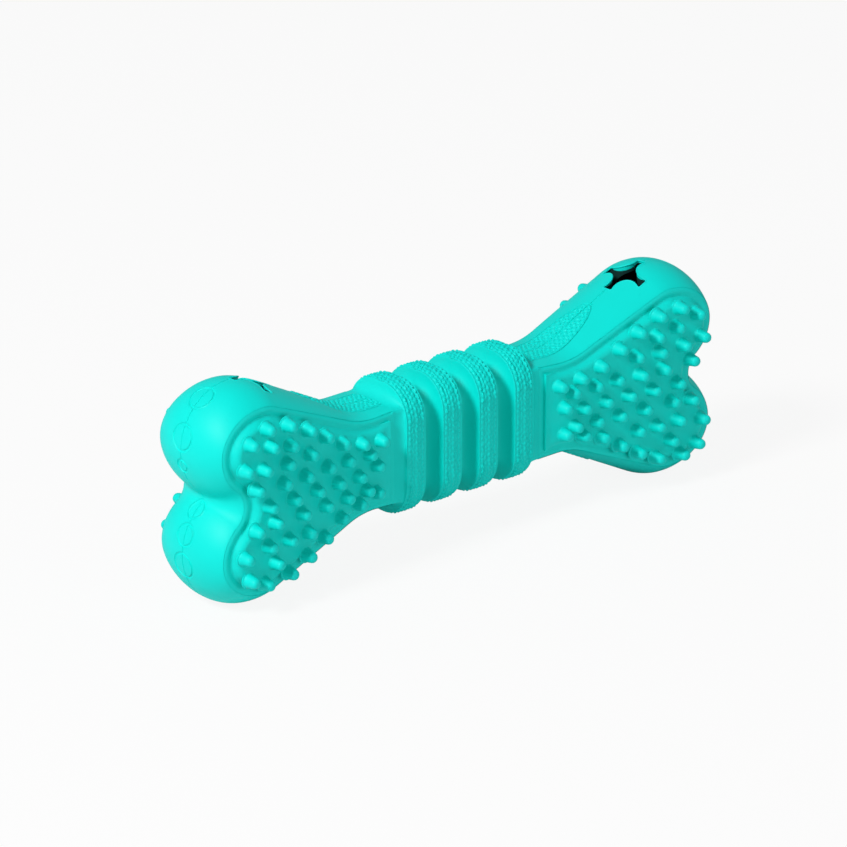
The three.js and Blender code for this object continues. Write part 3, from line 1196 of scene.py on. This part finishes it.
def noise_node(tree: NodeTree, size: float, detail: float) -> NodeSocket:
    """Adds noise on the object's own coordinates.

    Args:
        tree: the material's node tree.
        size: the size of its patches, in millimetres.
        detail: how many finer layers it has.

    Returns:
        The socket of its value.
    """
    places = add_node(tree, "ShaderNodeTexCoord").outputs["Object"]
    settings = {"Scale": 1 / (size * MM), "Detail": detail}
    return add_node(tree, "ShaderNodeTexNoise", settings, {"Vector": places}).outputs["Fac"]


@dataclass(frozen=True)
class MouldedRubber:
    """Turquoise natural rubber, compression moulded in a blasted steel mould.

    The eye gets a saturated satin body, broad soft highlights with no mirror image, a very fine
    skin left by the blasting, and cloudy patches where the rubber has flowed.
    """

    name: str
    body: str
    clouds: str
    roughness: float
    skin: float = 0.35
    skin_depth: float = 0.02
    skin_strength: float = 0.35
    cloud_size: float = 9.0
    duller: float = 0.07
    shinier: float = 0.05
    ior: float = 1.52
    specular: float = 0.16

    def material(self) -> Material:
        """Builds the node tree."""
        material = bpy.data.materials.new(self.name)
        tree = empty_tree(material)
        clouds = noise_node(tree, self.cloud_size, 3.0)
        skin = noise_node(tree, self.skin, 2.0)
        tint = add_node(
            tree, "ShaderNodeMix",
            {".data_type": "RGBA", "6": linear(self.body), "7": linear(self.clouds)}, {"0": clouds},
        )
        sheen = add_node(
            tree, "ShaderNodeMapRange",
            {"To Min": self.roughness - self.shinier, "To Max": self.roughness + self.duller},
            {"Value": clouds},
        )
        bump = add_node(
            tree, "ShaderNodeBump",
            {"Strength": self.skin_strength, "Distance": self.skin_depth * MM}, {"Height": skin},
        )
        shader = add_node(
            tree, "ShaderNodeBsdfPrincipled",
            {"IOR": self.ior, "Specular IOR Level": self.specular, "Metallic": 0.0},
            {
                "Base Color": tint.outputs[2], "Roughness": sheen.outputs["Result"],
                "Normal": bump.outputs["Normal"],
            },
        )
        add_node(tree, "ShaderNodeOutputMaterial", None, {"Surface": shader.outputs["BSDF"]})
        return material


@dataclass(frozen=True)
class Lamp:
    """A soft square lamp that looks at the bone, in metres and watts."""

    name: str
    place: tuple[float, float, float]
    size: float
    power: float


@dataclass
class Studio:
    """Pale floor, soft lamps and the camera at the photograph's angle."""

    azimuth: float = 40.814
    elevation: float = 20.3
    distance: float = 1500.0
    pixels_per_mm: float = 3.9719
    frame_pixels: float = 847.0
    sensor: float = 36.0
    aim: tuple[float, float] = (4.746, -0.551)
    clip: tuple[float, float] = (0.05, 50.0)
    floor_z: float = -28.72
    floor_size: float = 12.0
    floor_white: float = 0.9
    room_light: float = 0.3
    lamps: tuple[Lamp, ...] = (
        Lamp("key_softbox", (-1.1, -0.12, 0.95), 0.35, 17.5),
        Lamp("front_softbox", (0.3, -1.5, 0.1), 1.0, 5.5),
    )

    def axes(self) -> tuple[Vector, Vector, Vector]:
        """Right, up and forward of the camera, as unit vectors."""
        a, e = math.radians(self.azimuth), math.radians(self.elevation)
        right = Vector((math.cos(a), -math.sin(a), 0))
        up = Vector((math.sin(a) * math.sin(e), math.cos(a) * math.sin(e), math.cos(e)))
        return right, up, up.cross(right)

    def camera(self) -> None:
        """Places the camera and makes it the scene's own."""
        right, up, forward = self.axes()
        data = bpy.data.cameras.new("camera")
        data.sensor_width = self.sensor
        data.lens = self.pixels_per_mm * self.distance / self.frame_pixels * self.sensor
        data.clip_start, data.clip_end = self.clip
        data.dof.use_dof = False
        camera = bpy.data.objects.new("camera", data)
        bpy.context.scene.collection.objects.link(camera)
        camera.location = (-forward * self.distance - right * self.aim[0] - up * self.aim[1]) * MM
        camera.rotation_mode = "QUATERNION"
        camera.rotation_quaternion = forward.to_track_quat("-Z", "Y")
        bpy.context.scene.camera = camera

    @staticmethod
    def hang(lamp: Lamp) -> None:
        """Hangs up a lamp."""
        data = bpy.data.lights.new(lamp.name, "AREA")
        data.shape, data.size, data.energy = "SQUARE", lamp.size, lamp.power
        piece = bpy.data.objects.new(lamp.name, data)
        bpy.context.scene.collection.objects.link(piece)
        piece.location = lamp.place
        piece.rotation_mode = "QUATERNION"
        piece.rotation_quaternion = (-Vector(lamp.place)).to_track_quat("-Z", "Y")

    @staticmethod
    def show_white(
        tree: NodeTree, kind: str, surface: NodeSocket, white: NodeSocket, share: float
    ) -> None:
        """Shows the camera a share of white in place of what the rest of the scene gets.

        Args:
            tree: the node tree of the world or of the floor.
            kind: the kind of its output node.
            surface: the shader that lights the scene.
            white: the white shader.
            share: how much of the white the camera sees, from 0 to 1.
        """
        sight = add_node(tree, "ShaderNodeLightPath").outputs["Is Camera Ray"]
        times = {".operation": "MULTIPLY", "1": share}
        part = add_node(tree, "ShaderNodeMath", times, {"0": sight}).outputs["Value"]
        links = {"0": part, "1": surface, "2": white}
        mix = add_node(tree, "ShaderNodeMixShader", None, links)
        add_node(tree, kind, None, {"Surface": mix.outputs["Shader"]})

    def world(self) -> None:
        """Lights the room evenly, and shows the camera a white background."""
        world = bpy.data.worlds.new("studio")
        bpy.context.scene.world = world
        tree = empty_tree(world)
        room, white = (
            add_node(tree, "ShaderNodeBackground", {"Color": (1, 1, 1, 1), "Strength": strength})
            for strength in (self.room_light, 1.0)
        )
        shaders = room.outputs["Background"], white.outputs["Background"]
        self.show_white(tree, "ShaderNodeOutputWorld", *shaders, 1.0)

    def floor(self) -> None:
        """Lays a white paper floor that keeps a faint shadow."""
        place = (0, 0, self.floor_z * MM)
        plane = bpy.ops.mesh.primitive_plane_add
        floor = primitive("paper_floor", plane, size=self.floor_size, location=place)
        material = bpy.data.materials.new("white_seamless_paper")
        tree = empty_tree(material)
        paper = add_node(tree, "ShaderNodeBsdfDiffuse", {"Color": linear("e4e4e4")})
        white = add_node(tree, "ShaderNodeEmission", {"Color": (1, 1, 1, 1), "Strength": 1.0})
        shaders = paper.outputs["BSDF"], white.outputs["Emission"]
        self.show_white(tree, "ShaderNodeOutputMaterial", *shaders, self.floor_white)
        floor.data.materials.append(material)

    def build(self) -> None:
        """Sets up floor, light and camera."""
        bpy.context.scene.view_settings.view_transform = "Standard"
        self.camera()
        self.world()
        for lamp in self.lamps:
            self.hang(lamp)
        self.floor()


@dataclass
class ChewBone:
    """The whole bone: builds each sub-assembly, dresses it and ties it to its body."""

    form: BoneForm
    finishes: dict[Slot, MouldedRubber]
    materials: dict[Slot, Material] | None = None
    pocket_painted_shade: Material | None = None

    def dress(
        self, piece: Object, slot: Slot, body: str | None, nodes: Sequence[str], degrees: float
    ) -> None:
        """Gives a finished piece its material, its body and the nodes that it stands for.

        Args:
            piece: the finished piece.
            slot: its material slot.
            body: the body that it rides on, or None where it is blended.
            nodes: the nodes that it replaces.
            degrees: the edge angle up to which it is shaded smooth.
        """
        smooth(piece, degrees)
        if not piece.data.materials:
            piece.data.materials.append(self.materials[slot])
        if body:
            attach(piece, body)
        if nodes:
            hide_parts(*nodes)
        LOG.info("%s: %d faces, rides on %s", piece.name, len(piece.data.polygons), body)

    def both_ends(
        self, piece: Object, slot: Slot, nodes: Sequence[str], degrees: float = 40
    ) -> None:
        """Copies a piece of the right end to the left one, and dresses both.

        Args:
            piece: the right end's piece, named right_ and so on.
            slot: its material slot.
            nodes: the nodes that it replaces, without left_ or right_.
            degrees: the edge angle up to which it is shaded smooth.
        """
        name = piece.name.replace(End.RIGHT.value, End.LEFT.value)
        twin = flipped(piece, name, (-1, 1, 1))
        for end, owner in zip(End, (piece, twin)):
            owned = [f"{end.value}_{node}" for node in nodes]
            self.dress(owner, slot, f"{end.value}_end", owned, degrees)

    def ends(self) -> None:
        """Builds both ends."""
        maker = EndShell(self.form)
        shell = maker.outline()
        maker.round_edge(shell)
        blank = maker.cut_seat(shell)
        maker.close(shell)
        rear = StudFace(self.form).build(blank)
        front = flipped(rear, "right_front_stud_face", (1, -1, 1))
        tongue, border = NeckTongue(self.form, HideGrain()).build(shell)
        lower = flipped(tongue, "right_lower_tongue", (1, 1, -1))
        lower_border = flipped(border, "lower_border", (1, 1, -1))
        star = maker.star()
        lip = maker.lip(shell, star)
        rings = maker.rings(shell)
        maker.hollow_out(shell, star)
        carve(shell, join([rings, border, lower_border]))
        shell.data.materials.clear()
        shell.data.materials.append(self.materials[Slot.SHELL])
        shell.data.materials.append(self.pocket_painted_shade)
        # Faces in the pocket and the lower throat take the dark material of painted shade.
        for face in shell.data.polygons:
            face.material_index = 1 if maker.in_painted_shade(face) else 0
        self.both_ends(shell, Slot.SHELL, ["front_shell", "rear_shell"])
        self.both_ends(rear, Slot.STUD, ["rear_stud_pad"], 50)
        self.both_ends(front, Slot.STUD, ["front_stud_pad"], 50)
        for piece in (tongue, lower, lip):
            self.both_ends(piece, Slot.SHELL, [], 60)

    def waist(self) -> None:
        """Builds ribs, valleys and flanks."""
        maker = Waist(self.form, HideGrain())
        bodies = ("left_end", "second_rib", "third_rib", "right_end")
        rib, web = maker.rib(), maker.web()
        for number, body in enumerate(bodies):
            twin = self.shifted(rib, f"rib_{number + 1}_band", (number - 1.5) * maker.pitch)
            self.dress(twin, Slot.RIB, body, [f"rib_{number + 1}"], 50)
        for number in range(3):
            middle = (number - 1) * maker.pitch
            twin = self.shifted(web, f"web_{number + 1}_valley", middle)
            self.dress(twin, Slot.WEB, None, [f"web_{number + 1}"], 60)
            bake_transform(twin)
        remove(rib)
        remove(web)
        self.both_ends(maker.flank(), Slot.RIB, [], 60)

    @staticmethod
    def shifted(piece: Object, name: str, x: float) -> Object:
        """Copies a piece along the bone."""
        twin = copy_of(piece, name)
        shift(twin, (x * MM, 0, 0))
        return twin

    def build(self) -> None:
        """Makes the finishes, then every sub-assembly."""
        self.materials = {slot: finish.material() for slot, finish in self.finishes.items()}
        # Painted shade: the pocket's wall and the lower throat take the same rubber painted dark,
        # standing in for the shadow inside, so that the star reads as a hole.
        shadowed = MouldedRubber("shadowed_pocket_rubber", "0b3c38", "0a2c29", 0.75)
        self.pocket_painted_shade = shadowed.material()
        self.ends()
        self.waist()


def main() -> None:
    logging.basicConfig(level=logging.INFO, format="%(name)s: %(message)s")
    finishes = {
        # Smooth walls: the brightest turquoise, with broad soft highlights on the lobes.
        Slot.SHELL: MouldedRubber("moulded_turquoise_rubber_shell", "00e2d8", "00dcd1", 0.5),
        # Studs: a little duller, so that their tips catch light without a glint.
        Slot.STUD: MouldedRubber("moulded_turquoise_rubber_studs", "00e0d6", "00d9cf", 0.52),
        # Rib bands: the dullest, as their grain scatters the light.
        Slot.RIB: MouldedRubber("moulded_turquoise_rubber_ribs", "00e0d6", "00d8ce", 0.55),
        # Valleys: smooth, so that light and shade run evenly into their bottoms.
        Slot.WEB: MouldedRubber("moulded_turquoise_rubber_valleys", "00e0d6", "00dad0", 0.5),
    }
    ChewBone(BoneForm(), finishes).build()
    Studio().build()


if __name__ == "__main__":
    main()
